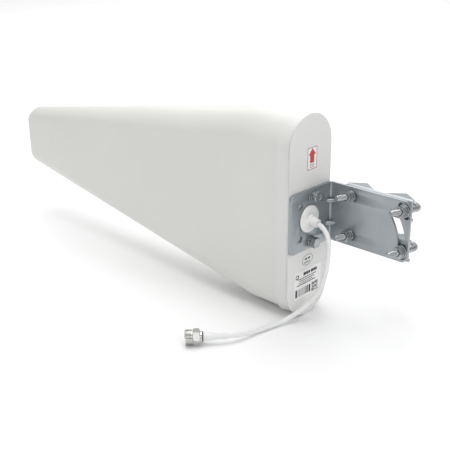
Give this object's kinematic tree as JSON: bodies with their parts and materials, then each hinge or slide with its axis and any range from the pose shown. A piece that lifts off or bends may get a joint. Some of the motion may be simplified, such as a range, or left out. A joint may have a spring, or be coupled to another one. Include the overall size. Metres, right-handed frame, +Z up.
{
  "type": "yagi antenna",
  "caption": "Directional antenna in a tapered white radome, held by a bent steel bracket and a tilting two-U-bolt mast clamp, with a short coaxial lead and a jack.",
  "frame": {"origin": "on the axis of the mast that the clamp holds, midway between the two U-bolts", "axes": "+X along the antenna's beam, from the mast towards the radome's tip; +Z up along the mast; +Y towards the antenna's left, the side the lead lies on"},
  "size_m": [0.5625, 0.2082, 0.2136],
  "materials": {
    "white_abs": "satin white moulded ABS",
    "label_film": "white printed film with red and grey marks",
    "black_rubber": "matt black",
    "aluminium": "plain mill finish",
    "nylon": "natural nylon",
    "foam": "closed-cell foam",
    "white_rubber": "white flexible PVC",
    "brass": "bright brass",
    "ptfe": "white PTFE",
    "nickel": "bright nickel plate",
    "zinc_steel": "bright zinc plate, slightly blue",
    "stainless": "bright stainless steel"
  },
  "bodies": {
    "clamp_set": {"upper_saddle": "zinc_steel", "upper_front_flat_washer": "stainless", "upper_front_spring_washer": "stainless", "upper_front_nut": "stainless", "upper_rear_flat_washer": "stainless", "upper_rear_spring_washer": "stainless", "upper_rear_nut": "stainless", "lower_saddle": "zinc_steel", "lower_front_flat_washer": "stainless", "lower_front_spring_washer": "stainless", "lower_front_nut": "stainless", "lower_rear_flat_washer": "stainless", "lower_rear_spring_washer": "stainless", "lower_rear_nut": "stainless"},
    "antenna": {"radome_shell": "white_abs", "end_cap": "white_abs", "cap_gasket": "black_rubber", "back_plate": "aluminium", "arrow_label": "label_film", "rating_label": "label_film", "radiator_left": "aluminium", "radiator_right": "aluminium", "rear_boom_spacer": "nylon", "middle_boom_spacer": "nylon", "front_boom_spacer": "nylon", "rear_boom_rivet": "aluminium", "middle_boom_rivet": "aluminium", "front_boom_rivet": "aluminium", "shorting_block": "aluminium", "boom_bracket": "aluminium", "middle_foam_support": "foam", "front_foam_support": "foam", "feed_coax": "white_rubber", "feed_tag": "brass", "cable_gland": "white_rubber", "gland_nut": "nylon", "l_bracket": "zinc_steel", "upper_bracket_bolt": "stainless", "upper_bracket_flat_washer": "stainless", "upper_bracket_spring_washer": "stainless", "upper_bracket_nut": "stainless", "lower_bracket_bolt": "stainless", "lower_bracket_flat_washer": "stainless", "lower_bracket_spring_washer": "stainless", "lower_bracket_nut": "stainless", "lead": "white_rubber", "heat_shrink_sleeve": "white_rubber", "connector_gasket": "black_rubber", "connector_clamp_nut": "nickel", "connector_barrel": "nickel", "connector_insulator": "ptfe", "connector_contact": "brass"},
    "upper_u_bolt": {"upper_u_bolt": "stainless"},
    "lower_u_bolt": {"lower_u_bolt": "stainless"}
  },
  "joints": [
    {"name": "tilt", "type": "hinge", "parent": "clamp_set", "child": "antenna", "pos_m": [0.031, 0.0215, -0.021], "axis": [0, 1, 0], "range_deg": [-4, 3]},
    {"name": "upper_u_bolt_slide", "type": "slide", "parent": "clamp_set", "child": "upper_u_bolt", "axis": [0, -0.9848, -0.1736], "range_m": [0, 0.014]},
    {"name": "lower_u_bolt_slide", "type": "slide", "parent": "clamp_set", "child": "lower_u_bolt", "axis": [0, -0.9848, -0.1736], "range_m": [0, 0.014]}
  ]
}
